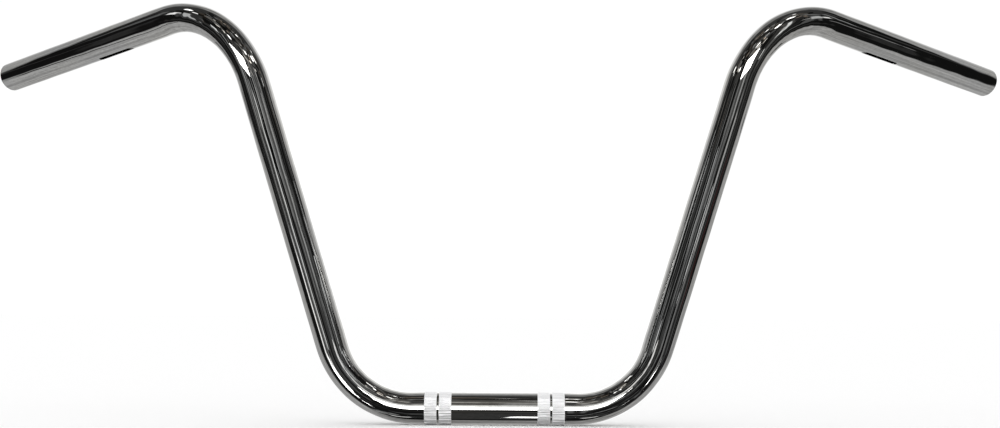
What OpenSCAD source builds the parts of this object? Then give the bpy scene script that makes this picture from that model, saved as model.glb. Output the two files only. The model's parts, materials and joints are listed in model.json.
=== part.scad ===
// Handlebar with high, swept-back grips: one steel tube of constant diameter, bent four times.
// The tube is drawn as the plain lengths and bends that it is made of, end to end along one centre
// line. The origin is the middle of the clamp section's axis. +X runs along the clamp section,
// +Y points back to the rider and +Z points up. The left half mirrors the right half.

/* [Tube] */
// Outside diameter of the tube
tube_d = 25.4; // [22.2:0.1:31.8]
// Thickness of the tube's wall
wall = 3.05; // [2:0.05:4]
// Chamfer round the outer edge of each bar end
end_chamfer = 0.6; // [0.3:0.1:1.2]

/* [Clamp section] */
// Straight length between the two lower bends
clamp_length = 128; // [120:1:200]
// Distance between the centres of the two risers that hold the bar
riser_spacing = 88.9; // [80:0.1:92]
// Length of each knurled band
band_length = 9.7; // [8:0.1:11]
// Length of the groove between the two bands of a pair
groove_length = 1.8; // [1:0.1:3]
// Depth of the groove between the two bands of a pair
groove_depth = 0.3; // [0.2:0.1:1]
// Number of teeth round each knurled band
teeth = 60; // [40:2:80]
// Height of the teeth above the plain tube
tooth_rise = 0.08; // [0:0.01:0.1]
// Depth of the valleys between the teeth, below the plain tube
valley_depth = 0.25; // [0.1:0.05:0.5]

/* [Bends] */
// Centre-line radius of each lower bend
lower_bend_r = 68; // [50:1:100]
// Angle of each lower bend, from level up to the upright
lower_bend_angle = 72.5; // [60:0.5:90]
// Straight length of each upright
upright_length = 221.5; // [100:0.5:350]
// Centre-line radius of each upper bend
upper_bend_r = 82.5; // [60:0.5:110]
// Angle of each upper bend, from the upright out to the grip
upper_bend_angle = 83; // [60:0.5:100]
// Turn of each upper bend about its upright, back towards the rider
sweep_angle = 33.5; // [0:0.5:60]

/* [Grip ends] */
// Straight length that carries the grip and the hand controls
grip_end_length = 210; // [190:1:260]
// Length of that straight that the rubber grip covers, at its outer end
grip_seat_length = 120; // [100:1:121]
// Length of the wiring slot, from end to end
slot_length = 42; // [20:1:50]
// Width of the wiring slot
slot_width = 7; // [6:0.5:12]
// Distance from the bar end to the near end of the wiring slot
slot_inset = 122; // [122:1:135]
// Lean of the wiring slot from straight down towards the rider
slot_lean = 9; // [0:1:60]

/* [Hidden] */
$fn = 96;
cut = 1; // how far a cutting shape runs past the faces that it cuts

bore_d = tube_d - 2 * wall;
control_seat_length = grip_end_length - grip_seat_length;
slot_middle = grip_end_length - slot_inset - slot_length / 2;

pair_length = 2 * band_length + groove_length;
plain_length = riser_spacing - pair_length;
stub_length = (clamp_length - riser_spacing - pair_length) / 2;

chrome = [0.78, 0.79, 0.80];
bright_chrome = [0.93, 0.93, 0.94];

// Turn a vector about the X axis or the Y axis, as rotate() does.
function about_x(a, v) = [v.x, v.y * cos(a) - v.z * sin(a), v.y * sin(a) + v.z * cos(a)];
function about_y(a, v) = [v.x * cos(a) + v.z * sin(a), v.y, v.z * cos(a) - v.x * sin(a)];

// The straight grip end's own sideways and upward directions, in the bar's frame.
bend_roll = 180 + sweep_angle;
function to_bar(v) = about_y(-lower_bend_angle, about_x(bend_roll, about_y(-upper_bend_angle, v)));
grip_side = to_bar([0, 1, 0]);
grip_up = to_bar([0, 0, 1]);

// The way the wiring slot faces, and the roll about the grip end's axis that turns it there.
slot_aim = [0, sin(slot_lean), -cos(slot_lean)];
slot_roll = atan2(-slot_aim * grip_side, slot_aim * grip_up);

// Each section starts at the local origin and runs along local +X; a bend turns towards local +Z.

// A round bar of any diameter.
module rod(d, length) rotate([0, 90, 0]) cylinder(h = length, d = d);

// A straight length of the tube.
module straight(length) difference() {
    rod(tube_d, length);
    translate([-cut, 0, 0]) rod(bore_d, length + 2 * cut);
}

// A bent length of the tube.
module bend(r, angle)
    translate([0, 0, r]) rotate([90, 90, 0]) rotate_extrude(angle = angle, $fn = 180) translate([r, 0])
        difference() {
            circle(d = tube_d);
            circle(d = bore_d);
        }

// Place children where a bend ends.
module past_bend(r, angle) translate([0, 0, r]) rotate([0, -angle, 0]) translate([0, 0, -r]) children();

// Outline of a knurled band: straight-sided teeth, evenly spaced.
module tooth_outline() {
    crest = tube_d / 2 + tooth_rise;
    valley = tube_d / 2 - valley_depth;
    polygon([for (i = [0 : 2 * teeth - 1])
        let (r = i % 2 == 0 ? crest : valley, a = 180 * i / teeth)
        [r * cos(a), r * sin(a)]]);
}

// One knurled band, without the bore.
module band() rotate([0, 90, 0]) linear_extrude(band_length) tooth_outline();

// A pair of knurled bands with a groove between them.
module knurled_pair() difference() {
    union() {
        band();
        translate([band_length, 0, 0]) rod(tube_d - 2 * groove_depth, groove_length);
        translate([band_length + groove_length, 0, 0]) band();
    }
    translate([-cut, 0, 0]) rod(bore_d, pair_length + 2 * cut);
}

// The shape that cuts the wiring slot: a bar with round ends, standing along local +Z.
module slot_cutter() {
    half_run = (slot_length - slot_width) / 2;
    for (side = [-1, 1]) translate([side * half_run, 0, 0]) cylinder(h = tube_d, d = slot_width);
    translate([-half_run, -slot_width / 2, 0]) cube([2 * half_run, slot_width, tube_d]);
}

// The start of each section of the right half, measured along the bar from the origin.
module at_knurl() translate([plain_length / 2, 0, 0]) children();
module at_stub() at_knurl() translate([pair_length, 0, 0]) children();
module at_lower_bend() at_stub() translate([stub_length, 0, 0]) children();
module at_upright() at_lower_bend() past_bend(lower_bend_r, lower_bend_angle) children();
module at_upper_bend() at_upright() translate([upright_length, 0, 0]) rotate([bend_roll, 0, 0]) children();
module at_control_seat() at_upper_bend() past_bend(upper_bend_r, upper_bend_angle) children();
module at_grip_seat() at_control_seat() translate([control_seat_length, 0, 0]) children();

// The plain middle of the clamp section, between the two risers.
module clamp_centre() color(chrome) translate([-plain_length / 2, 0, 0]) straight(plain_length);

// The knurled length that one riser grips.
module knurl() color(bright_chrome) at_knurl() knurled_pair();

// The short plain end of the clamp section and the bend up to the upright.
module lower_bend() color(chrome) union() {
    at_stub() straight(stub_length);
    at_lower_bend() bend(lower_bend_r, lower_bend_angle);
}

// The straight rise.
module upright() color(chrome) at_upright() straight(upright_length);

// The bend out and back to the grip end.
module upper_bend() color(chrome) at_upper_bend() bend(upper_bend_r, upper_bend_angle);

// The inner part of the grip end, where the hand controls clamp over the wiring slot.
module control_seat() color(chrome) at_control_seat() difference() {
    straight(control_seat_length);
    translate([slot_middle, 0, 0]) rotate([slot_roll, 0, 0]) slot_cutter();
}

// The outer part of the grip end, with the open bar end.
module grip_seat() color(chrome) at_grip_seat() difference() {
    union() {
        rod(tube_d, grip_seat_length - end_chamfer);
        translate([grip_seat_length - end_chamfer, 0, 0]) rotate([0, 90, 0])
            cylinder(h = end_chamfer, d1 = tube_d, d2 = tube_d - 2 * end_chamfer);
    }
    translate([-cut, 0, 0]) rod(bore_d, grip_seat_length + 2 * cut);
}

module to_left() mirror([1, 0, 0]) children();

clamp_centre();
to_left() knurl();  // knurl_left
knurl();  // knurl_right
to_left() lower_bend();  // lower_bend_left
lower_bend();  // lower_bend_right
to_left() upright();  // upright_left
upright();  // upright_right
to_left() upper_bend();  // upper_bend_left
upper_bend();  // upper_bend_right
to_left() control_seat();  // control_seat_left
control_seat();  // control_seat_right
to_left() grip_seat();  // grip_seat_left
grip_seat();  // grip_seat_right
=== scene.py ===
"""Visual model of a chrome handlebar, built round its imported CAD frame.

The real bar is one bent tube, and the frame holds it as thirteen lengths that meet face to face. Each
length gets one mesh that keeps the CAD size and adds what the plain shape leaves out: bends that are
squeezed and rippled by the bending, toothed knurling that runs out at its edges, deburred slots and
cut tube ends. Every point of the surface comes from one formula, so the lengths join without a seam.
The surroundings are a painted dome and a few near cards that only reflections see, since chrome shows
what is round it.
"""
import json
import math

import bpy
import numpy as np
from mathutils import Matrix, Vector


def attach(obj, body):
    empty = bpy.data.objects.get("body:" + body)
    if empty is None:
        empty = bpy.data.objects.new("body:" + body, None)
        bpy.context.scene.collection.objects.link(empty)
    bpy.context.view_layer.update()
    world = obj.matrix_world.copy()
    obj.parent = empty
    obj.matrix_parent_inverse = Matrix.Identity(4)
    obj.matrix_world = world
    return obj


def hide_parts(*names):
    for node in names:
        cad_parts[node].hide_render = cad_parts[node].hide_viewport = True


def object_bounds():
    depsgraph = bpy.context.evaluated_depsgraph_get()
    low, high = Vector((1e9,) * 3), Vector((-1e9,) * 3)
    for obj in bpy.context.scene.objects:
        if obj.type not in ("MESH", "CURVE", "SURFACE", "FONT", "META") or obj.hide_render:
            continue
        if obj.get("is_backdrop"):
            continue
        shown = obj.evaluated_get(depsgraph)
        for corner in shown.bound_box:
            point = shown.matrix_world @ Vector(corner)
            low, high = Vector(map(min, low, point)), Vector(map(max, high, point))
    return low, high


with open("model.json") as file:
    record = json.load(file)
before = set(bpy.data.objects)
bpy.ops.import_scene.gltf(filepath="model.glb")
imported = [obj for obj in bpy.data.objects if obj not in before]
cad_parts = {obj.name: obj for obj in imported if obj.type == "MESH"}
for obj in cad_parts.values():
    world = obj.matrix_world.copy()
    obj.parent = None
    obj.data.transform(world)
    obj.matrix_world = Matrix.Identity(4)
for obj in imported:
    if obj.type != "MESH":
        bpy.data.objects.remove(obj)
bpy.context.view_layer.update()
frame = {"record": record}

MM = 0.001
mounts = {mount["name"]: mount for mount in frame["record"]["mounts"]}

# ---------------------------------------------------------------- the tube, in metres and radians
TUBE_R = mounts["riser_clamp"]["dims"]["r_mm"] * MM
BORE_R = mounts["bar_end_right"]["dims"]["r_mm"] * MM
WALL = TUBE_R - BORE_R

HALF_CLAMP = 64 * MM
LOWER_BEND_R = 68 * MM
LOWER_BEND = math.radians(72.5)
UPRIGHT = 221.5 * MM
UPPER_BEND_R = 82.5 * MM
UPPER_BEND = math.radians(83)
SWEEP = math.radians(33.5)
GRIP_END = 210 * MM
GRIP_SEAT = 120 * MM

# Knurling: two bands and a groove in the length that one riser grips.
RISER_SPACING = 88.9 * MM
BAND = 9.7 * MM
GROOVE = 1.8 * MM
GROOVE_DEPTH = 0.3 * MM
TEETH = 60
TOOTH_RISE = 0.08 * MM
VALLEY_DEPTH = 0.25 * MM
RUN_OUT = 0.3 * MM
KNURL_START = RISER_SPACING / 2 - BAND - GROOVE / 2
KNURL_END = RISER_SPACING / 2 + BAND + GROOVE / 2

# Wiring slot, seen from straight outside: half its straight run, its width and the way it faces.
SLOT_WIDTH = 7 * MM
SLOT_LENGTH = 42 * MM
SLOT_INSET = 122 * MM
SLOT_RUN = (SLOT_LENGTH - SLOT_WIDTH) / 2
SLOT_FROM_END = SLOT_INSET + SLOT_LENGTH / 2
SLOT_LEAN = math.radians(9)
DEBURR = 0.35 * MM

END_CHAMFER = 0.6 * MM
BORE_CHAMFER = 0.3 * MM

# What bending does to the tube: it gets thinner towards the bend's centre, by a share of its radius
# that eases in and out over an angle of the bend, and its skin ripples. The rest of the tube wavers.
LOWER_SQUEEZE = 0.055
UPPER_SQUEEZE = 0.075
BEND_EASE = math.radians(22)
RIPPLE = 0.035 * MM
WAVER = 0.05 * MM

# Points in each row round the tube, and how many of them, on each side of the wiring slot's middle,
# the window that is left open for the slot spans.
AROUND = 120
AROUND_KNURL = 8 * TEETH
SLOT_SPAN = 9

# Steps between rows of points: along bends, along straights and round the wiring slot.
FINE_STEP = 1.2 * MM
COARSE_STEP = 3 * MM
SLOT_STEP = 1.5 * MM


class Leg:
    """One straight or bent length of the right half's centre line."""

    def __init__(self, before, length, radius=None, toward=0.0):
        """toward is the angle, from the up vector to the back vector, of the side a bend turns to."""
        self.start = before.end if before else 0.0
        self.end = self.start + length
        self.radius = radius
        self.toward = toward
        if before:
            self.origin = before.at(before.end)
        else:
            along, back, up = np.identity(3)
            self.origin = (np.zeros(3), along, up, back)

    def at(self, s):
        """Centre, along, up and back vectors at distance s along the bar."""
        centre, along, up, back = self.origin
        step = np.asarray(s - self.start)[..., None]
        if self.radius is None:
            still = np.zeros_like(step)
            return centre + along * step, along + still, up + still, back + still
        turn = step / self.radius
        inward = math.cos(self.toward) * up + math.sin(self.toward) * back
        across = math.cos(self.toward) * back - math.sin(self.toward) * up
        pivot = centre + self.radius * inward
        along_now = along * np.cos(turn) + inward * np.sin(turn)
        inward_now = inward * np.cos(turn) - along * np.sin(turn)
        up_now = math.cos(self.toward) * inward_now - math.sin(self.toward) * across
        back_now = math.sin(self.toward) * inward_now + math.cos(self.toward) * across
        return pivot - self.radius * inward_now, along_now, up_now, back_now


clamp_leg = Leg(None, HALF_CLAMP)
lower_leg = Leg(clamp_leg, LOWER_BEND_R * LOWER_BEND, LOWER_BEND_R)
upright_leg = Leg(lower_leg, UPRIGHT)
upper_leg = Leg(upright_leg, UPPER_BEND_R * UPPER_BEND, UPPER_BEND_R, math.pi - SWEEP)
grip_leg = Leg(upper_leg, GRIP_END)
LEGS = [clamp_leg, lower_leg, upright_leg, upper_leg, grip_leg]
BENDS = [(lower_leg, LOWER_SQUEEZE), (upper_leg, UPPER_SQUEEZE)]


def centre_line(s):
    """Centre, along, up and back vectors at signed distances s: the left half mirrors the right half."""
    distance = np.abs(s)
    parts = [np.zeros(s.shape + (3,)) for _ in range(4)]
    for leg in LEGS:
        here = distance >= leg.start
        for part, value in zip(parts, leg.at(distance[here])):
            part[here] = value
    left = s < 0
    for part in parts:
        part[left, 0] *= -1
    parts[1][left] *= -1
    return parts


def smooth(low, high, value):
    """0 below low, 1 above high and an S-curve between them."""
    t = np.clip((value - low) / (high - low), 0, 1)
    return t * t * (3 - 2 * t)


def wave_set(seed, shortest, longest, most_lobes, count):
    """Waves along and round the tube: wavelength, lobes round the tube and phase of each."""
    rng = np.random.default_rng(seed)
    lengths = np.exp(rng.uniform(math.log(shortest), math.log(longest), count))
    lobes = rng.integers(-most_lobes, most_lobes + 1, count)
    phases = rng.uniform(0, math.tau, count)
    return list(zip(lengths, lobes, phases))


RIPPLES = wave_set(seed=11, shortest=7 * MM, longest=22 * MM, most_lobes=5, count=14)
WAVERS = wave_set(seed=5, shortest=25 * MM, longest=130 * MM, most_lobes=3, count=12)


def waves(s, angle, wave_list):
    """Sum of the waves, about -1 to 1."""
    total = 0
    for length, lobes, phase in wave_list:
        total = total + np.cos(math.tau * s / length + lobes * angle + phase)
    return total / math.sqrt(2 * len(wave_list))


def tooth(angle):
    """Height of the knurl's surface over the plain tube at an angle round it."""
    steepness, valley_share = 1.3, 0.15
    phase = (angle * TEETH / math.tau) % 1.0
    ridge = np.clip(np.abs(2 * phase - 1) * steepness - valley_share, 0, 1)
    return ridge * (TOOTH_RISE + VALLEY_DEPTH) - VALLEY_DEPTH


def knurl_height(s, angle):
    """The teeth of both bands, which run out at the bands' edges, and the groove between the bands."""
    along = np.abs(s) - KNURL_START
    total = np.zeros(np.broadcast(s, angle).shape)
    for start in (0.0, BAND + GROOVE):
        inside = np.minimum(along - start, start + BAND - along)
        total = total + tooth(angle) * np.clip(inside / RUN_OUT, 0, 1)
    in_groove = np.minimum(along - BAND, BAND + GROOVE - along)
    return total - GROOVE_DEPTH * np.clip(in_groove / (RUN_OUT / 2), 0, 1)


def in_band(s):
    """Whether distance s lies in one of the knurled bands, not in the groove between them."""
    along = abs(s) - KNURL_START
    return not BAND < along < BAND + GROOVE


def outside_radius(s, angle):
    """Radius of the tube's outside at distance s and angle, with squeeze, ripples and waver."""
    distance = np.abs(s)
    radius = TUBE_R + WAVER * (waves(s, angle, WAVERS) - 1) * smooth(KNURL_END, HALF_CLAMP, distance)
    for leg, squeeze in BENDS:
        ease = BEND_EASE * leg.radius
        into = smooth(leg.start - ease / 3, leg.start + ease, distance)
        amount = into * (1 - smooth(leg.end - ease, leg.end + ease / 3, distance))
        facing = np.cos(angle - leg.toward)
        radius = radius - TUBE_R * squeeze * amount * facing**2
        # Ripples are ten times as high on the bend's inner side as on its outer side.
        ripple = RIPPLE * (0.55 + 0.45 * facing)
        radius = radius + ripple * amount * (waves(s, angle, RIPPLES) - 1)
    return radius


def surface(s, angle, depth=0.0, knurled=False):
    """Points at distance s, at an angle round the tube, a depth below its outside."""
    s, angle, depth = np.broadcast_arrays(s, angle, depth)
    centre, _, up, back = centre_line(s)
    outside = outside_radius(s, angle)
    if knurled:
        outside = outside + knurl_height(s, angle) * (depth < WALL / 2)
    radius = (outside - depth)[..., None]
    return centre + radius * (np.cos(angle)[..., None] * up + np.sin(angle)[..., None] * back)


def unit(vectors):
    """The vectors at length 1."""
    return vectors / np.linalg.norm(vectors, axis=-1, keepdims=True)


def outside_normals(s, angle):
    """Outward normals of the tube's outside, from its slopes along and round the tube."""
    s, angle = np.broadcast_arrays(s, angle)
    ds, da = 0.2 * MM, 0.01
    slope_along = surface(s + ds, angle) - surface(s - ds, angle)
    slope_round = surface(s, angle + da) - surface(s, angle - da)
    return unit(np.cross(slope_along, slope_round))


def radial(s, angle):
    """Unit vectors straight out from the centre line."""
    s, angle = np.broadcast_arrays(s, angle)
    _, _, up, back = centre_line(s)
    return np.cos(angle)[..., None] * up + np.sin(angle)[..., None] * back


# ---------------------------------------------------------------- the meshes
PLATED, BARE, FROSTED = 0, 1, 2


class Skin:
    """Collects one piece: points, quads, a normal for each corner and each quad's material."""

    def __init__(self, knurled=False):
        self.knurled = knurled
        self.points = []
        self.straight = []
        self.quads = []
        self.normals = []
        self.finishes = []
        self.count = 0

    def ring(self, s, angle, depth):
        """Adds a closed row of points and gives their numbers."""
        s, angle, depth = np.broadcast_arrays(s, angle, depth)
        self.points.append(surface(s, angle, depth, self.knurled))
        radius = TUBE_R - depth
        if self.knurled:
            radius = radius + knurl_height(s, angle) * (depth < WALL / 2)
        self.straight.append(np.stack([s, radius * np.cos(angle), radius * np.sin(angle)], -1))
        numbers = np.arange(len(s)) + self.count
        self.count += len(s)
        return numbers

    def join(self, first, second, first_normals, second_normals, finish, keep=None):
        """Adds the quads between two closed rows."""
        quads = np.stack([first, second, np.roll(second, -1), np.roll(first, -1)], -1)
        next_normals = [np.roll(row, -1, 0) for row in (second_normals, first_normals)]
        normals = np.stack([first_normals, second_normals, *next_normals], 1)
        if keep is not None:
            quads, normals = quads[keep], normals[keep]
        self.quads.append(quads)
        self.normals.append(normals)
        self.finishes.append(np.full(len(quads), finish))

    def build(self, name, slot, materials):
        """Makes the Blender object, and sets it in place of the CAD node of the same name."""
        mesh = bpy.data.meshes.new(name)
        points = np.concatenate(self.points)
        mesh.from_pydata(points.tolist(), [], np.concatenate(self.quads).tolist())
        mesh.polygons.foreach_set("material_index", np.concatenate(self.finishes))
        straightened = mesh.attributes.new("straightened", "FLOAT_VECTOR", "POINT")
        straightened.data.foreach_set("vector", np.concatenate(self.straight).ravel())
        if self.knurled:
            mesh.shade_flat()
        else:
            mesh.shade_smooth()
            mesh.normals_split_custom_set(np.concatenate(self.normals).reshape(-1, 3))
        for material in materials:
            mesh.materials.append(material)
        piece = bpy.data.objects.new(name + "_skin", mesh)
        bpy.context.scene.collection.objects.link(piece)
        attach(piece, "root")
        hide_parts(name)


def lathe(skin, profile, angles, window=None):
    """Turns a closed profile of (distance, depth) points round the tube.

    window is (first, last, from_angle, to_angle): a part of the wall left open between two distances
    and two places in angles. Gives the numbers of the points, one row for each profile point."""
    rows = [skin.ring(np.full(len(angles), s), angles, depth) for s, depth in profile]
    places = np.arange(len(angles))
    for i, (s, depth) in enumerate(profile):
        j = (i + 1) % len(profile)
        s_next, depth_next = profile[j]
        on_wall = depth == depth_next and depth in (0.0, WALL)
        if depth == depth_next == 0.0:
            normals = [outside_normals(np.full(len(angles), x), angles) for x in (s, s_next)]
        else:
            rise, run = depth - depth_next, s_next - s
            _, along, _, _ = centre_line(np.full(len(angles), s))
            slope = np.hypot(rise, run)
            flat = (-rise * along + run * radial(np.full(len(angles), s), angles)) / slope
            normals = [flat, flat]
        keep = None
        if window and on_wall and min(s, s_next) >= window[0] and max(s, s_next) <= window[1]:
            keep = (places < window[2]) | (places >= window[3])
        finish = PLATED
        if depth == depth_next == WALL:
            finish = BARE
        elif skin.knurled and in_band((s + s_next) / 2):
            finish = FROSTED
        skin.join(rows[i], rows[j], normals[0], normals[1], finish, keep)
    return np.array(rows)


def spaced(start, end, step):
    """Distances from start to end, both included, about a step apart."""
    count = max(1, round(abs(end - start) / step))
    return [float(x) for x in np.linspace(start, end, count + 1)]


def tube_profile(outside, inside):
    """Closed profile of a plain length: out along the outside and back along the bore."""
    return [(s, 0.0) for s in outside] + [(s, WALL) for s in reversed(inside)]


def side_sign(side):
    """Sign of X, and of distances, on that side of the bar."""
    return 1 if side == "right" else -1


def in_order(profile, sign):
    """The profile as the left or right half needs it, always turning the same way."""
    if sign > 0:
        return profile
    return [(-s, depth) for s, depth in reversed(profile)]


# Rows of points round the tube start opposite the wiring slot, so that the slot is centred on a row.
_, _, grip_up, grip_back = grip_leg.at(np.array(grip_leg.end))
slot_aim = np.array([0, math.sin(SLOT_LEAN), -math.cos(SLOT_LEAN)])
SLOT_ANGLE = math.atan2(slot_aim @ grip_back, slot_aim @ grip_up)
ANGLES = SLOT_ANGLE + math.pi + math.tau * np.arange(AROUND) / AROUND
KNURL_ANGLES = SLOT_ANGLE + math.pi + math.tau * np.arange(AROUND_KNURL) / AROUND_KNURL
WINDOW_START, WINDOW_END = AROUND // 2 - SLOT_SPAN, AROUND // 2 + SLOT_SPAN


def open_slot(skin, rows_out, rows_in, distances, middle):
    """Closes the wall round the wiring slot, from the window's edge through the wall to the bore."""
    last = len(distances) - 1
    edge = [(0, j) for j in range(WINDOW_START, WINDOW_END)]
    edge += [(i, WINDOW_END) for i in range(last)]
    edge += [(last, j) for j in range(WINDOW_END, WINDOW_START, -1)]
    edge += [(i, WINDOW_START) for i in range(last, 0, -1)]
    i, j = np.array(edge).T
    s_edge, angle_edge = np.array(distances)[i], ANGLES[j]
    middle_angle = ANGLES[AROUND // 2]
    arc_edge = TUBE_R * (angle_edge - middle_angle)

    core = middle + np.clip(s_edge - middle, -SLOT_RUN, SLOT_RUN)
    out_s, out_y = s_edge - core, arc_edge
    size = np.hypot(out_s, out_y)
    out_s, out_y = out_s / size, out_y / size

    def outline(offset, depth):
        """Distances and angles of the slot's outline, offset outwards, at a depth in the wall."""
        reach = SLOT_WIDTH / 2 + offset
        return core + reach * out_s, middle_angle + np.arcsin(reach * out_y / (TUBE_R - depth))

    _, along, up, back = centre_line(core)
    sideways = math.cos(middle_angle) * back - math.sin(middle_angle) * up
    wall_normal = -(out_s[:, None] * along + out_y[:, None] * sideways)

    # Along the outside to the slot's rim, round its deburred edges and back along the bore.
    loops = [(rows_out[i, j], outside_normals(s_edge, angle_edge))]
    s_rim, angle_rim = outline(DEBURR, 0.0)
    for share in (0.35, 0.62, 0.82, 1.0):
        s, angle = s_edge + share * (s_rim - s_edge), angle_edge + share * (angle_rim - angle_edge)
        loops.append((skin.ring(s, angle, 0.0), outside_normals(s, angle)))
    for turn in np.radians([25, 50, 70, 90]):
        depth = DEBURR * (1 - math.cos(turn))
        s, angle = outline(DEBURR * (1 - math.sin(turn)), depth)
        normal = math.cos(turn) * radial(s, angle) + math.sin(turn) * wall_normal
        loops.append((skin.ring(s, angle, depth), unit(normal)))
    for turn in np.radians([0, 30, 60, 90]):
        depth = WALL - DEBURR * (1 - math.sin(turn))
        s, angle = outline(DEBURR * (1 - math.cos(turn)), depth)
        normal = math.cos(turn) * wall_normal - math.sin(turn) * radial(s, angle)
        loops.append((skin.ring(s, angle, depth), unit(normal)))
    s_rim, angle_rim = outline(DEBURR, WALL)
    bore_start = len(loops) - 1
    for share in (0.3, 0.65):
        s, angle = s_rim + share * (s_edge - s_rim), angle_rim + share * (angle_edge - angle_rim)
        loops.append((skin.ring(s, angle, WALL), -radial(s, angle)))
    loops.append((rows_in[i, j], -radial(s_edge, angle_edge)))
    for k in range(len(loops) - 1):
        (first, first_normals), (second, second_normals) = loops[k], loops[k + 1]
        finish = BARE if k >= bore_start else PLATED
        skin.join(first, second, first_normals, second_normals, finish)


def clamp_centre(materials):
    """The plain tube between the two risers."""
    skin = Skin()
    outside = spaced(-KNURL_START, KNURL_START, 2 * MM)
    lathe(skin, tube_profile(outside, spaced(-KNURL_START, KNURL_START, 8 * MM)), ANGLES)
    skin.build("clamp_centre", "chrome_plate", materials)


def knurl(side, materials):
    """The length that one riser grips: two knurled bands with a groove between."""
    skin = Skin(knurled=True)
    outside = []
    for start in (KNURL_START, KNURL_START + BAND + GROOVE):
        outside += [start, *spaced(start + RUN_OUT, start + BAND - RUN_OUT, 1.5 * MM), start + BAND]
    groove_start = KNURL_START + BAND
    outside += [groove_start + RUN_OUT / 2, groove_start + GROOVE - RUN_OUT / 2]
    profile = tube_profile(sorted(outside), spaced(KNURL_START, KNURL_END, 4 * MM))
    lathe(skin, in_order(profile, side_sign(side)), KNURL_ANGLES)
    skin.build(f"knurl_{side}", "knurled_chrome", materials)


def plain_length(name, side, start, end, step, materials):
    """A straight or bent length without features."""
    skin = Skin()
    profile = tube_profile(spaced(start, end, step), spaced(start, end, 4 * MM))
    lathe(skin, in_order(profile, side_sign(side)), ANGLES)
    skin.build(f"{name}_{side}", "chrome_plate", materials)


def control_seat(side, materials):
    """The inner part of the grip end, with the wiring slot cut through one wall."""
    skin = Skin()
    sign = side_sign(side)
    middle = grip_leg.end - SLOT_FROM_END
    margin = 1.4 * MM
    reach = SLOT_LENGTH / 2 + margin
    across = spaced(middle - reach, middle + reach, SLOT_STEP)
    start, end = grip_leg.start, grip_leg.end - GRIP_SEAT
    distances = spaced(start, across[0], COARSE_STEP)[:-1] + across + [end]
    profile = in_order(tube_profile(distances, distances), sign)
    low, high = sorted((sign * across[0], sign * across[-1]))
    rows = lathe(skin, profile, ANGLES, (low, high, WINDOW_START, WINDOW_END))

    def window_rows(depth):
        """The window's rows of points at a depth, by distance and in order of it."""
        ordered = sorted(zip(profile, rows.tolist()))
        return {s: row for (s, d), row in ordered if d == depth and low <= s <= high}

    outer, inner = window_rows(0.0), window_rows(WALL)
    rows_out, rows_in = np.array(list(outer.values())), np.array(list(inner.values()))
    open_slot(skin, rows_out, rows_in, list(outer), sign * middle)
    skin.build(f"control_seat_{side}", "chrome_plate", materials)


def grip_seat(side, materials):
    """The outer part of the grip end, with the cut and chamfered tube end."""
    skin = Skin()
    start, end = grip_leg.end - GRIP_SEAT, grip_leg.end
    outside = spaced(start, end - END_CHAMFER, COARSE_STEP)
    inside = spaced(start, end - BORE_CHAMFER, 6 * MM)
    profile = [(s, 0.0) for s in outside]
    profile += [(end, END_CHAMFER), (end, WALL - BORE_CHAMFER)]
    profile += [(s, WALL) for s in reversed(inside)]
    lathe(skin, in_order(profile, side_sign(side)), ANGLES)
    skin.build(f"grip_seat_{side}", "chrome_plate", materials)


# ---------------------------------------------------------------- materials
def grey(level):
    """An opaque grey as a colour socket takes it."""
    return (level, level, level, 1)


class Nodes:
    """Short ways to add and link shader nodes of one material."""

    def __init__(self, name):
        self.material = bpy.data.materials.new(name)
        self.material.use_nodes = True
        self.tree = self.material.node_tree
        self.tree.nodes.clear()

    def add(self, kind, inputs=None, **settings):
        """Adds a node. inputs gives socket values, or the output socket that feeds each."""
        node = self.tree.nodes.new(kind)
        for key, value in settings.items():
            setattr(node, key, value)
        for key, value in (inputs or {}).items():
            if isinstance(value, bpy.types.NodeSocket):
                self.tree.links.new(value, node.inputs[key])
            else:
                node.inputs[key].default_value = value
        return node

    def straightened(self, stretch):
        """Coordinates along and round the tube in metres, stretched to give long or round patterns."""
        place = self.add("ShaderNodeAttribute", attribute_name="straightened")
        scaled = self.add("ShaderNodeMapping", {"Vector": place.outputs["Vector"], "Scale": stretch})
        return scaled.outputs["Vector"]

    def noise(self, stretch, detail=2.0, roughness=0.5):
        vector = self.straightened(stretch)
        inputs = {"Vector": vector, "Scale": 1.0, "Detail": detail, "Roughness": roughness}
        return self.add("ShaderNodeTexNoise", inputs).outputs["Fac"]

    def span(self, value, low, high, to_low, to_high):
        """Maps value from low..high to to_low..to_high."""
        inputs = {"Value": value, "From Min": low, "From Max": high, "To Min": to_low, "To Max": to_high}
        return self.add("ShaderNodeMapRange", inputs).outputs["Result"]

    def blend(self, share, first, second):
        """Colour between first and second. The numbers are the Mix node's sockets for colours."""
        mix = self.add("ShaderNodeMix", data_type="RGBA")
        for key, value in ((0, share), (6, first), (7, second)):
            if isinstance(value, bpy.types.NodeSocket):
                self.tree.links.new(value, mix.inputs[key])
            else:
                mix.inputs[key].default_value = value
        return mix.outputs[2]

    def most(self, first, second):
        """The larger of two values."""
        return self.add("ShaderNodeMath", {0: first, 1: second}, operation="MAXIMUM").outputs[0]

    def raised(self, height, strength, distance, normal=None):
        """Normal of a bumpy surface, on top of another bumpy surface's normal if there is one."""
        inputs = {"Height": height, "Strength": strength, "Distance": distance}
        if normal is not None:
            inputs["Normal"] = normal
        return self.add("ShaderNodeBump", inputs).outputs["Normal"]

    def metal(self, colour, metallic, roughness, normal):
        """Finished material of plated or bare metal."""
        inputs = {"Base Color": colour, "Metallic": metallic, "Roughness": roughness, "Normal": normal}
        return self.finish(self.add("ShaderNodeBsdfPrincipled", inputs))

    def finish(self, shader):
        """Gives the material this shader for its surface."""
        self.add("ShaderNodeOutputMaterial", {"Surface": shader.outputs[0]})
        return self.material


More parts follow.
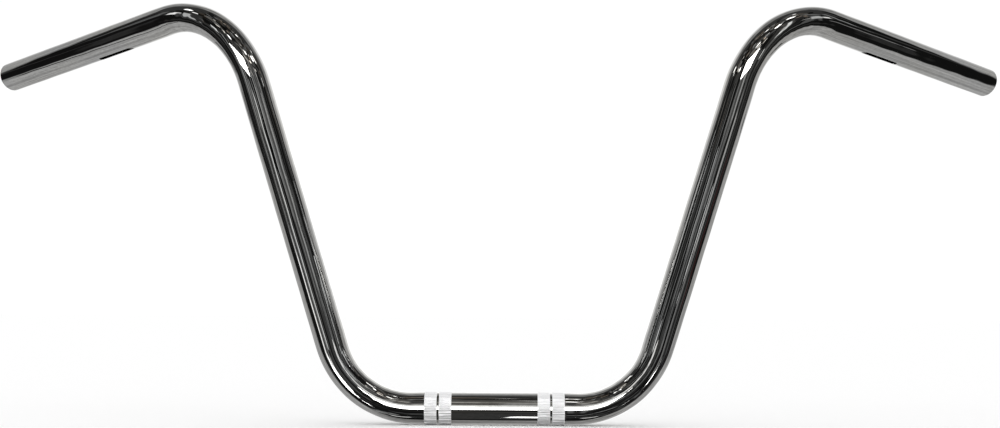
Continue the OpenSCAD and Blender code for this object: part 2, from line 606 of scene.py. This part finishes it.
def chrome_plate():
    """Bright plating: nearly a mirror, with hazy smudges, hairlines from polishing and a few pits."""
    n = Nodes("chrome_plate")
    haze = n.noise((55, 70, 70), detail=4.0, roughness=0.6)
    hairlines = n.noise((60, 5200, 5200), detail=2.0)
    peel = n.noise((900, 900, 900), detail=1.0)
    tone = n.noise((14, 40, 40), detail=2.0)
    grain = n.noise((260, 600, 600), detail=3.0)
    hazy, scratched = n.span(haze, 0.35, 0.8, 0.01, 0.045), n.span(hairlines, 0.66, 0.8, 0.01, 0.08)
    colour = n.blend(n.span(tone, 0.3, 0.7, 0.0, 1.0), grey(0.70), (0.74, 0.73, 0.70, 1))
    colour = n.blend(n.span(grain, 0.3, 0.7, 0.0, 0.45), colour, (0.45, 0.45, 0.43, 1))
    peeled = n.raised(peel, 0.12, 0.02 * MM)
    normal = n.raised(hairlines, 0.12, 0.01 * MM, peeled)
    return n.metal(colour, 1.0, n.most(hazy, scratched), normal)


def knurled_chrome():
    """Plated teeth: frosted by the knurling tool, bright on the crests, with painted shade in the
    valleys.
    """
    n = Nodes("knurled_chrome")
    place = n.add("ShaderNodeAttribute", attribute_name="straightened")
    split = n.add("ShaderNodeSeparateXYZ", {"Vector": place.outputs["Vector"]})
    across = n.add("ShaderNodeCombineXYZ", {"Y": split.outputs["Y"], "Z": split.outputs["Z"]})
    length = n.add("ShaderNodeVectorMath", {0: across.outputs["Vector"]}, operation="LENGTH")
    # Painted shade in the valleys: low down on the upper side, up to the crests on the underside.
    low, high = TUBE_R - 0.85 * VALLEY_DEPTH, TUBE_R + TOOTH_RISE
    shade_reach = n.span(split.outputs["Y"], -0.5 * TUBE_R, 0.1 * TUBE_R, high, low)
    unshaded = n.span(length.outputs["Value"], TUBE_R - VALLEY_DEPTH, shade_reach, 0.0, 1.0)
    grain = n.noise((1800, 1800, 1800), detail=3.0)
    patches = n.noise((160, 160, 160), detail=2.0)
    crest = n.blend(n.span(patches, 0.3, 0.7, 0.0, 1.0), (0.96, 0.96, 0.97, 1), grey(1.0))
    # The painted shade in the valleys is lighter in places.
    shade_gaps = n.span(n.noise((60, 700, 700), detail=1.0), 0.5, 0.62, 0.0, 1.0)
    valley_shade = n.blend(shade_gaps, grey(0.0), grey(0.75))
    roughness = n.span(grain, 0.3, 0.7, 0.26, 0.42)
    return n.metal(n.blend(unshaded, valley_shade, crest), 0.1, roughness, n.raised(grain, 0.3, 0.03 * MM))


def bare_steel():
    """Inside of the tube: drawn steel, dull and a little stained."""
    n = Nodes("bare_steel")
    draw_lines = n.noise((12, 900, 900), detail=3.0)
    stains = n.noise((70, 110, 110), detail=5.0, roughness=0.7)
    stained = n.span(stains, 0.45, 0.7, 0.0, 1.0)
    colour = n.blend(stained, (0.17, 0.165, 0.16, 1), (0.12, 0.085, 0.06, 1))
    roughness = n.span(draw_lines, 0.3, 0.7, 0.38, 0.6)
    return n.metal(colour, 1.0, roughness, n.raised(draw_lines, 0.4, 0.05 * MM))


plated, frosted, bare = chrome_plate(), knurled_chrome(), bare_steel()
clamp_centre([plated, bare])
for side in ("left", "right"):
    knurl(side, [plated, bare, frosted])
    plain_length("lower_bend", side, KNURL_END, lower_leg.end, FINE_STEP, [plated, bare])
    plain_length("upright", side, upright_leg.start, upright_leg.end, COARSE_STEP, [plated, bare])
    plain_length("upper_bend", side, upper_leg.start, upper_leg.end, FINE_STEP, [plated, bare])
    control_seat(side, [plated, bare])
    grip_seat(side, [plated, bare])


# ---------------------------------------------------------------- surroundings
# Directions on the dome are an azimuth, 0 towards the camera and growing to the right, and an
# elevation. Cards on the dome give their width and height as angles too, all in degrees.
DOME_CENTRE = np.array([0, 0, 0.1])
DOME_R = 1.6

# Brightness of what stands round the bar, where 1 is white paper.
LAMP = 6.0
BACKDROP = 0.42
ROOM = 0.045
SHADE = 0.008
WHITE, CREAM, BROWN = (1, 1, 1), (1.0, 0.96, 0.9), (0.95, 0.8, 0.66)
COOL, RED = (0.97, 0.99, 1.0), (1.0, 0.3, 0.3)

# Where the grey backdrop begins, from straight up round to straight down: how far behind the bar it
# starts on the left and on the right. The clock angle is 0 straight up and 180 straight down.
EDGE_CLOCK = [0, 30, 45, 60, 66, 75, 86, 90, 95, 103, 110, 120, 180]
EDGE_RIGHT = [0.3, 0.3, 0.24, 0.2, 0.15, 0.1, 0.07, 0.03, 0.04, 0.04, 0.02, 0.0, -0.03]
EDGE_LEFT = [0.3, 0.3, 0.28, 0.2, 0.15, 0.09, 0.1, 0.28, 0.06, 0.0, -0.07, -0.09, -0.03]

# The white edge below the camera: half its thickness at angles from straight down, to the left (below 0)
# and to the right.
ARC_AROUND = [-90, -65, -50, -38, -25, 25, 50, 90]
ARC_HALF = [7, 9, 8, 3, 0, 0, 2, 3]

# Upright things in the room, by quarter of the view from the bar: azimuth, width and brightness of each.
ABOVE, BELOW = (8, 44), (-24, 8)
STRIPES = [
    (ABOVE, [(8, 9, 0.1), (17, 7, 0.12), (32, 8, 0.05), (27, 5, 0.6), (41, 9, 0.01)]),
    (ABOVE, [(51, 9, 0.05), (62, 9, 0.09), (71, 8, 0.03)]),
    (ABOVE, [(-7, 10, 0.09), (-17, 9, 0.06), (-27, 9, 0.06), (-38, 10, 0.05), (-49, 8, 0.03)]),
    (ABOVE, [(-61, 11, 0.006), (-71, 6, 0.04)]),
    (BELOW, [(-10, 9, 0.02), (-19, 8, 0.08), (-27, 8, 0.1), (-36, 8, 0.2), (-45, 7, 0.25)]),
    (BELOW, [(-55, 7, 0.7), (-63, 6, 0.05), (-72, 11, 0.006)]),
    (BELOW, [(11, 9, 0.03), (20, 8, 0.03), (29, 9, 0.02), (40, 9, 0.26), (48, 6, 0.08)]),
    (BELOW, [(55, 7, 0.012), (64, 8, 0.05), (77, 16, 0.014)]),
]

# Both dark ends of the room, which the grip ends show, each with a faint line in it: azimuth,
# elevation, width, height and brightness.
DARK_ENDS = [(88, -3, 20, 52, SHADE), (84, 2, 5, 22, 0.03)]

# Lit edges in the room, which the uprights show as bright lines, in the same order of numbers.
LIT_EDGES = [
    (82, 24, 4.5, 7, 1.0), (-81, 26, 4.5, 12, 1.2), (61, 29, 5, 8, 0.5), (-55, -13, 6, 14, 1.6),
    (42, 1, 5, 12, 0.7),
]

# Lit things high in the room, which the bends show as flecks: azimuth, elevation, width, height,
# brightness and tint.
FLECKS = [
    (-89, 51, 5, 6, 3.0, WHITE), (-76, 47, 4, 4, 1.5, WHITE), (-50, 49, 5, 3, 1.2, CREAM),
    (-42, 47, 3, 5, 1.5, CREAM), (-33, 46, 4, 5, 4.0, WHITE), (-58, 62, 3, 3, 0.8, CREAM),
    (-2, 76, 5, 5, 3.0, WHITE), (11, 54, 9, 4, 3.0, WHITE), (32, 57, 5, 3, 0.8, WHITE),
    (21, 47, 6, 3, 2.0, CREAM), (28, 54, 3, 5, 0.9, BROWN), (13, 45, 4, 2, 0.8, BROWN),
    (35, 43, 5, 3, 1.0, CREAM), (51, 57, 6, 6, 4.0, WHITE), (72, 58, 4, 8, 3.0, WHITE),
    (95, 64, 5, 3, 1.0, WHITE), (-9, 30, 6, 2, 0.8, CREAM), (26, 78, 5, 3, 3.0, WHITE),
]

# Bands above and below the camera, which only the clamp section shows: elevation, height, brightness.
CLAMP_BANDS = [
    (73, 12, 0.025), (61, 8, 0.1), (52, 6, 0.2), (43, 5, 0.6), (35, 4, 0.2), (29, 3, 0.5),
    (-24, 8, 0.07),
]

# Upright cards close to the bar: name, centre in metres, level run as a vector in X and Y, height and
# brightness. The clamp section shows the paper. Each upper bend shows the lamp next to it, and a dark
# hood hides that lamp from the other side. The patches darken the backdrop just below the open ends.
NEAR_CARDS = [
    ("paper", (0, -0.15, 0.0125), (0.2, 0), 0.047, LAMP),
    ("paper_top", (0, -0.15, 0.054), (0.17, 0), 0.036, 1.0),
    ("lamp_left", (-0.312, -0.21, 0.353), (0.165, 0), 0.08, LAMP),
    ("hood_left", (-0.215, -0.17, 0.315), (0, 0.08), 0.23, SHADE),
    ("lamp_right", (0.222, -0.21, 0.388), (0.13, 0), 0.1, LAMP),
    ("hood_right", (0.145, -0.1675, 0.35), (0, 0.085), 0.22, SHADE),
    ("patch_left", (-0.57, 0.2, 0.215), (0.05, 0.11), 0.035, 0.17),
    ("patch_right", (0.56, 0.23, 0.2), (-0.05, 0.11), 0.025, 0.12),
]


def heading(azimuth, elevation):
    """Unit vector towards a place on the dome."""
    a, e = math.radians(azimuth), math.radians(elevation)
    return np.array([math.sin(a) * math.cos(e), -math.cos(a) * math.cos(e), math.sin(e)])


def show_to_chrome(name, mesh, material):
    """Puts a lit thing in the studio that only reflections see."""
    mesh.materials.append(material)
    material.cycles.emission_sampling = "NONE"
    thing = bpy.data.objects.new(name, mesh)
    bpy.context.scene.collection.objects.link(thing)
    thing.visible_camera = False
    thing.visible_diffuse = False
    thing.visible_shadow = False
    thing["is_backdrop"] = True


class Dome:
    """A painted dome round the studio, which only reflections see."""

    def __init__(self, steps=360):
        polar = np.linspace(0, math.pi, steps + 1)
        turn = np.linspace(0, math.tau, 2 * steps, endpoint=False)
        p, t = np.meshgrid(polar, turn, indexing="ij")
        self.shape = p.shape
        directions = np.stack([np.sin(p) * np.cos(t), np.sin(p) * np.sin(t), np.cos(p)], -1)
        self.directions = directions.reshape(-1, 3)
        self.light = np.full(self.directions.shape, ROOM)
        self.across, self.behind, self.above = self.directions.T
        self.elevation = np.degrees(np.arcsin(np.clip(self.above, -1, 1)))
        self.clock = np.degrees(np.arctan2(np.abs(self.across), self.above))

    def paint(self, mask, brightness, tint=WHITE):
        """Lays light over what is there, as far as mask says, from 0 to 1."""
        colour = brightness * np.array(tint)
        self.light += (colour - self.light) * mask[:, None]

    def card(self, azimuth, elevation, width, height, brightness, tint=WHITE, turn=0.0, soft=1.5):
        """A rectangular card, with its size, turn and soft edge in degrees."""
        facing = heading(azimuth, elevation)
        right = heading(azimuth + 90, 0)
        up = np.cross(right, -facing)
        c, s = math.cos(math.radians(turn)), math.sin(math.radians(turn))
        right, up = c * right + s * up, c * up - s * right
        ahead = self.directions @ facing
        safe = np.maximum(ahead, 1e-3)
        x = np.degrees(np.arctan(self.directions @ right / safe))
        y = np.degrees(np.arctan(self.directions @ up / safe))
        inside = smooth(0, soft, width / 2 - np.abs(x)) * smooth(0, soft, height / 2 - np.abs(y))
        self.paint(inside * (ahead > 0), brightness, tint)

    def build(self):
        """Makes the dome's object once all is painted."""
        rows, columns = self.shape
        numbers = np.arange(rows * columns).reshape(rows, columns)
        upper, lower = numbers[:-1], numbers[1:]
        quads = np.stack([upper, lower, np.roll(lower, -1, 1), np.roll(upper, -1, 1)], -1)
        points = DOME_CENTRE + DOME_R * self.directions
        mesh = bpy.data.meshes.new("dome")
        mesh.from_pydata(points.tolist(), [], quads.reshape(-1, 4).tolist())
        painted = mesh.color_attributes.new("light", "FLOAT_COLOR", "POINT")
        painted.data.foreach_set("color", np.c_[self.light, np.ones(len(self.light))].ravel())
        n = Nodes("dome_light")
        light = n.add("ShaderNodeAttribute", attribute_name="light")
        material = n.finish(n.add("ShaderNodeEmission", {"Color": light.outputs["Color"]}))
        show_to_chrome("dome", mesh, material)


def mottle(dome, rng, fineness):
    """Soft random clouds all over the dome, mostly from -1 to 1, and smaller the finer they are."""
    total = 0
    for _ in range(24):
        total = total + np.cos(dome.directions @ rng.normal(0, fineness, 3) + rng.uniform(0, 6))
    return total / 5


def backdrop(dome):
    """Grey cove behind, above and below the bar, which turns white straight behind it."""
    starts = [np.interp(dome.clock, EDGE_CLOCK, edge) for edge in (EDGE_LEFT, EDGE_RIGHT)]
    edge = np.where(dome.across < 0, *starts)
    cove = smooth(edge - 0.02, edge + 0.03, dome.behind)
    rng = np.random.default_rng(9)
    clouds = 0.14 * mottle(dome, rng, 14) + 0.14 * mottle(dome, rng, 45)
    upper = smooth(-0.1, 0.3, dome.above)
    white = 0.55 * upper * smooth(0.5, 0.75, dome.behind) + smooth(0.88, 1.0, dome.behind)
    dim = 0.4 * smooth(0.5, 0.8, dome.above) + 0.35 * smooth(0.75, 0.95, -dome.above)
    dome.paint(cove, BACKDROP)
    dome.light *= (1 + cove * (clouds + 2.0 * white - dim))[:, None]


def low_arc(dome):
    """White curved edge below the camera, thick to the left and thin to the right, in black shade."""
    hub = heading(0, -20)
    away = np.degrees(np.arccos(np.clip(dome.directions @ hub, -1, 1)))
    around = np.degrees(np.arctan2(dome.across, -dome.above))
    low = smooth(4, 12, -dome.elevation)
    dome.paint(low * smooth(0, 8, 72 - away) * (dome.behind < 0.3), SHADE)
    half = np.interp(around, ARC_AROUND, ARC_HALF)
    middle = np.interp(around, [-50, -30], [42, 46])
    ring = smooth(0, 2.0, half - np.abs(away - middle)) * low
    strength = 0.25 + LAMP * smooth(12, 26, -dome.elevation)
    dome.light += (strength[:, None] - dome.light) * ring[:, None]


def near_card(name, centre, along, height, brightness):
    """An upright card close to the bar, which only reflections see."""
    x, y, z = centre
    mesh = bpy.data.meshes.new(name)
    ends = ((-1, -1), (1, -1), (1, 1), (-1, 1))
    corners = [(x + i * along[0] / 2, y + i * along[1] / 2, z + j * height / 2) for i, j in ends]
    mesh.from_pydata(corners, [], [(0, 1, 2, 3)])
    n = Nodes(name)
    material = n.finish(n.add("ShaderNodeEmission", {"Color": grey(1), "Strength": brightness}))
    show_to_chrome(name, mesh, material)


def dim_light(rng, lowest, highest):
    """The room's brightness, doubled a random number of times from lowest to highest."""
    return ROOM * 2.0 ** rng.uniform(lowest, highest)


def clutter(dome, rng):
    """Small, mostly dark things high up in front of the bar."""
    for _ in range(90):
        place = (rng.uniform(-90, 90), rng.uniform(20, 80))
        size = (rng.uniform(10, 28), rng.uniform(3, 7))
        dome.card(*place, *size, dim_light(rng, -3, 2.5), COOL, rng.uniform(-35, 35), soft=0.6)
    for _ in range(200):
        place = (rng.uniform(-90, 90), rng.uniform(24, 88))
        size = rng.uniform(2.5, 8, 2)
        brightness = dim_light(rng, -4, 3)
        tint = (CREAM, BROWN, COOL)[rng.integers(3)]
        dome.card(*place, *size, brightness, tint, rng.uniform(-60, 60), soft=0.6)


def slats(dome, rng):
    """Narrow upright things all round, level with the bar."""
    for azimuth in np.arange(-98, 100, 3.5):
        place = (azimuth + rng.uniform(-2, 2), rng.uniform(-6, 24))
        size = (rng.uniform(2.5, 6), rng.uniform(20, 60))
        dome.card(*place, *size, dim_light(rng, -4, 3), COOL, rng.uniform(-7, 7), soft=0.7)


def lines(dome, rng):
    """Thin bright and dark lines that stand in the room."""
    for brightness in (0.3, 0.005, 0.6, 0.005, 1.0):
        for _ in range(7):
            place = (rng.uniform(-85, 85), rng.uniform(-12, 34))
            size = (rng.uniform(2.5, 5), rng.uniform(6, 22))
            dome.card(*place, *size, brightness, COOL, rng.uniform(-4, 4), soft=0.5)


def litter(dome, rng):
    """Things that lie on the ground in front of the bar."""
    for _ in range(60):
        place = (rng.uniform(-60, 60), rng.uniform(-66, -30))
        size = (rng.uniform(6, 22), rng.uniform(2.5, 6))
        dome.card(*place, *size, dim_light(rng, -3, 3), COOL, rng.uniform(-35, 35), soft=0.6)


def surroundings():
    """The room that the photograph's chrome shows. Each thing on the dome covers those before it."""
    dome = Dome()
    rng = np.random.default_rng(3)
    low_arc(dome)
    clutter(dome, rng)
    for (low, high), stripes in STRIPES:
        for azimuth, width, brightness in stripes:
            dome.card(azimuth, (low + high) / 2, width, high - low, brightness)
    dome.card(71, -8, 6, 12, 0.06, RED)
    slats(dome, rng)
    lines(dome, rng)
    litter(dome, rng)
    for side in (-1, 1):
        for azimuth, *card in DARK_ENDS:
            dome.card(side * azimuth, *card)
    for card in LIT_EDGES:
        dome.card(*card)
    dome.card(74, 25, 6, 3, 0.6, turn=-20)
    dome.card(84, 12, 8, 2.5, 0.3, turn=20, soft=0.8)
    dome.card(-91, 12, 14, 1.2, 0.06, turn=-30, soft=0.5)
    for card in FLECKS:
        dome.card(*card, turn=20, soft=0.6)
    backdrop(dome)
    # A dark line on the backdrop, which the left grip end's underside shows.
    dome.card(-92.5, -23, 2.4, 20, 0.01, soft=0.6)
    for elevation, height, brightness in CLAMP_BANDS:
        dome.card(0, elevation, 12, height, brightness, CREAM)
    # The ground at the camera's feet, with a lit spot on it and a lit edge to each side.
    for side in (-1, 1):
        dome.card(side * 36, -67, 14, 4, 1.2)
    dome.card(0, -54, 12, 48, 0.045)
    dome.card(5, 60, 4, 3, 1.2)
    dome.card(-5, 46, 5, 2, 1.2)
    dome.card(4, -60.5, 3.2, 9, 4.0, soft=0.6)
    dome.build()
    for card in NEAR_CARDS:
        near_card(*card)


def floor():
    """Pale floor that the bar's lowest point rests on."""
    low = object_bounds()[0].z
    half = 30.0
    mesh = bpy.data.meshes.new("floor")
    corners = [(-half, -half, low), (half, -half, low), (half, half, low), (-half, half, low)]
    mesh.from_pydata(corners, [], [(0, 1, 2, 3)])
    n = Nodes("pale_floor")
    mesh.materials.append(n.finish(n.add("ShaderNodeBsdfDiffuse", {"Color": grey(0.98)})))
    plane = bpy.data.objects.new("floor", mesh)
    bpy.context.scene.collection.objects.link(plane)
    plane.visible_glossy = False
    plane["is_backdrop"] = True


def soft_daylight():
    """White all round, for the camera and the floor; the chrome sees the dome instead."""
    world = bpy.data.worlds.new("soft_daylight")
    bpy.context.scene.world = world
    world.use_nodes = True
    background = world.node_tree.nodes["Background"]
    background.inputs["Color"].default_value = grey(1)
    background.inputs["Strength"].default_value = 1.02
    world.cycles_visibility.glossy = False


def camera():
    """At the photograph's viewing angle: level with the lower part of the bar, looking a little up."""
    data = bpy.data.cameras.new("camera")
    data.lens = 46.8
    eye = bpy.data.objects.new("camera", data)
    bpy.context.scene.collection.objects.link(eye)
    place = (0.0075, -1.0368, 0.0748)
    turns = [(0.23, "Z"), (4.39, "X"), (-0.37, "Y"), (90, "X")]
    matrix = Matrix.Identity(3)
    for angle, axis in turns:
        matrix = matrix @ Matrix.Rotation(math.radians(angle), 3, axis)
    eye.matrix_world = Matrix.LocRotScale(place, matrix.to_quaternion(), None)
    bpy.context.scene.camera = eye


surroundings()
floor()
soft_daylight()
camera()
bpy.context.scene.view_settings.view_transform = "Standard"
